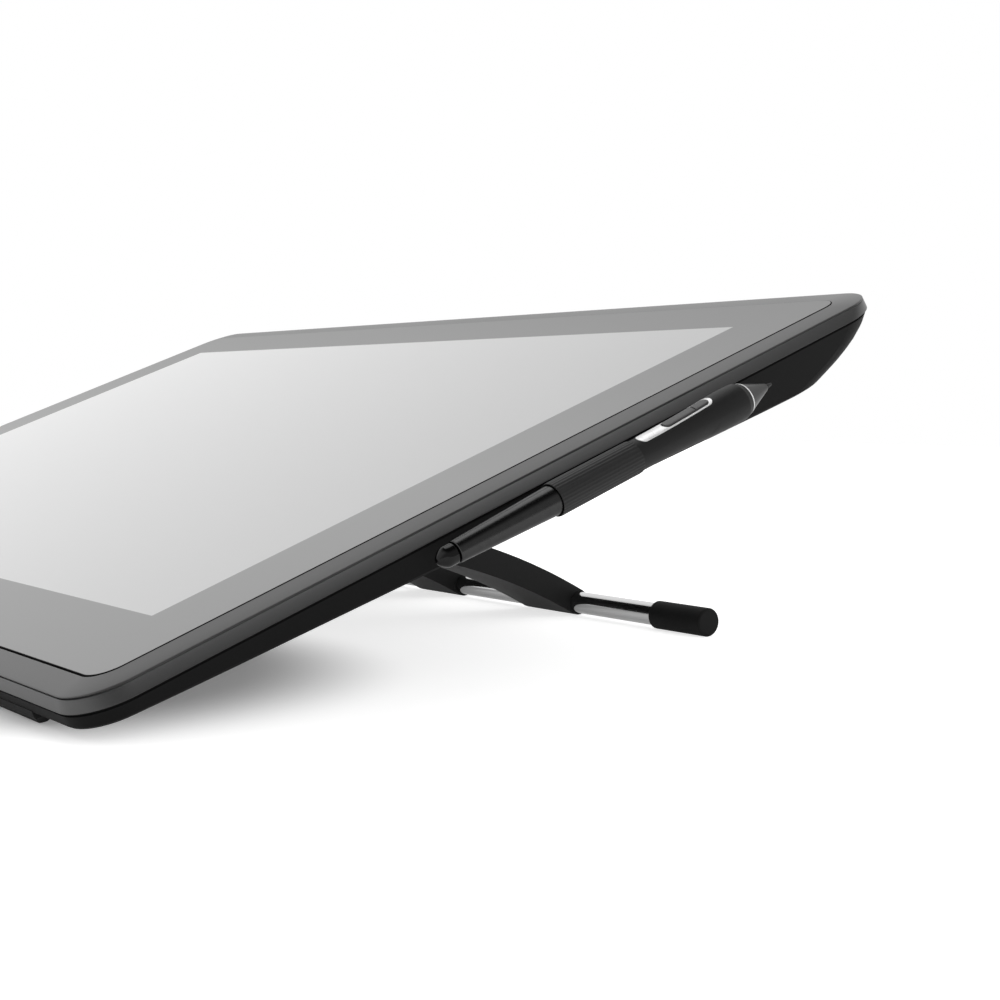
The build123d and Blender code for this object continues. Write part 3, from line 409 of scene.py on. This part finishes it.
def loop():
    """Elastic loop with fine ribs along the pen."""
    start, end = LOOP
    cut, run = LOOP_CHAMFER
    rings = [circle(LOOP_INNER, start), circle(LOOP_INNER, end)]
    rings += [circle(LOOP_OUTER - cut, end), circle(LOOP_OUTER, end - run, RIB_DEPTH)]
    rings += [circle(LOOP_OUTER, start + run, RIB_DEPTH), circle(LOOP_OUTER - cut, start)]
    sleeve = solid("loop_sleeve", rings, True, [MATERIALS["loop"]], body="loop", stands_for=["pen_loop"])
    middle = PEN_Y + (start + end) / 2
    low, high = middle - TAB_HALF, middle + TAB_HALF
    stem = []
    for x in (TAB_TIP, PEN_X - LOOP_INNER - TAB_OVERLAP):
        corners = [(low, -TAB_T / 2), (high, -TAB_T / 2), (high, TAB_T / 2), (low, TAB_T / 2)]
        stem.append([spot(x, y, PEN_Z + z) for y, z in corners])
    tab = solid("loop_tab", stem, False, [MATERIALS["loop"]], body="loop", stands_for=["pen_loop"])


bezel()
glass()
tail()
loop()

# Floor, world, lamps and camera


def seen_in(surface):
    """One for camera and transmission rays, a share for glossy rays, and zero for the rest."""
    rays = surface.node("LightPath").outputs
    seen = surface.math("MULTIPLY", rays["Is Glossy Ray"], MIRRORED_WHITE)
    for ray in ("Is Camera Ray", "Is Transmission Ray"):
        seen = surface.math("MAXIMUM", seen, rays[ray])
    return seen


def floor():
    """Pale floor that keeps the object's shadow, adds a painted shadow around the casing's near front
    corner, and is white to the camera farther out.
    """
    mesh = bpy.data.meshes.new("floor")
    reach = FLOOR_REACH
    corners = [(-reach, -reach), (reach, -reach), (reach, reach), (-reach, reach)]
    mesh.from_pydata([(x, y, 0) for x, y in corners], [], [(0, 1, 2, 3)])
    piece = bpy.data.objects.new("floor", mesh)
    bpy.context.scene.collection.objects.link(piece)
    surface = Surface("white_floor", Roughness=0.9, Specular_IOR_Level=0.0)
    where = surface.place()
    surface.link(surface.colours(surface.noise(where, 3.0), tone(0.90), tone(0.92)), "Base Color")
    surface.shader.inputs["Emission Color"].default_value = (1, 1, 1, 1)
    away = surface.node("VectorMath", {"operation": "DISTANCE"}, _0=where, _1=PAINTED_SHADOW_CENTRE).outputs["Value"]
    # Painted shadow: less added white near the casing's front corner, rising to full white past it
    near = surface.mapped(away, PAINTED_SHADOW_RAMP, "SMOOTHSTEP")
    added = surface.math("ADD", near, surface.mapped(away, FAR_WHITE))
    surface.link(surface.math("MULTIPLY", added, seen_in(surface)), "Emission Strength")
    mesh.materials.append(surface.material)


def world():
    """White sweep under a darker ceiling, darker to the right in reflections, white to the camera."""
    studio = bpy.data.worlds.new("studio")
    bpy.context.scene.world = studio
    nodes = Nodes(studio, "Background")
    nodes.shader.inputs["Color"].default_value = (1, 1, 1, 1)
    rays = nodes.node("LightPath").outputs
    towards = nodes.node("SeparateXYZ", Vector=nodes.node("TexCoord").outputs["Generated"]).outputs
    wall = nodes.mapped(towards["X"], RIGHT_WALL)
    mirrored = nodes.mapped(rays["Is Glossy Ray"], dict(To_Min=1.0, To_Max=wall))
    indirect = nodes.math("MULTIPLY", nodes.mapped(towards["Z"], CEILING), mirrored)
    nodes.link(nodes.mapped(rays["Is Camera Ray"], dict(To_Min=indirect, To_Max=1.0)), "Strength")


def softbox(name, at, look_at, width, height, power, mirrored=False, diffuse=True):
    """Area lamp that lights matte surfaces or is mirrored in glossy ones."""
    lamp = bpy.data.lights.new(name, "AREA")
    lamp.shape = "RECTANGLE"
    lamp.size, lamp.size_y = width, height
    lamp.energy = power
    piece = bpy.data.objects.new(name, lamp)
    bpy.context.scene.collection.objects.link(piece)
    piece.location = at
    piece.rotation_euler = (Vector(look_at) - Vector(at)).to_track_quat("-Z", "Y").to_euler()
    piece.visible_glossy = mirrored
    piece.visible_diffuse = diffuse


def camera():
    lens = bpy.data.cameras.new("camera")
    lens.lens = CAMERA_LENS
    lens.sensor_width = SENSOR
    lens.clip_start = 0.01
    lens.clip_end = 100
    piece = bpy.data.objects.new("camera", lens)
    bpy.context.scene.collection.objects.link(piece)
    piece.location = CAMERA_AT
    piece.rotation_euler = [radians(angle) for angle in CAMERA_TURN]
    bpy.context.scene.camera = piece


floor()
world()
softbox("top_softbox", (-0.6, 0.4, 3.0), (0, 0.2, 0), 3.0, 3.0, 30.0)
softbox("side_softbox", (2.6, -0.9, 1.1), (0.2, 0.2, 0), 1.6, 1.0, 14.0)
softbox("rim_softbox", (-0.55, 0.48, 2.5), (0.29, 0.2, 0.08), 1.5, 1.5, 12.0, mirrored=True, diffuse=False)
camera()
bpy.context.scene.view_settings.view_transform = "Standard"
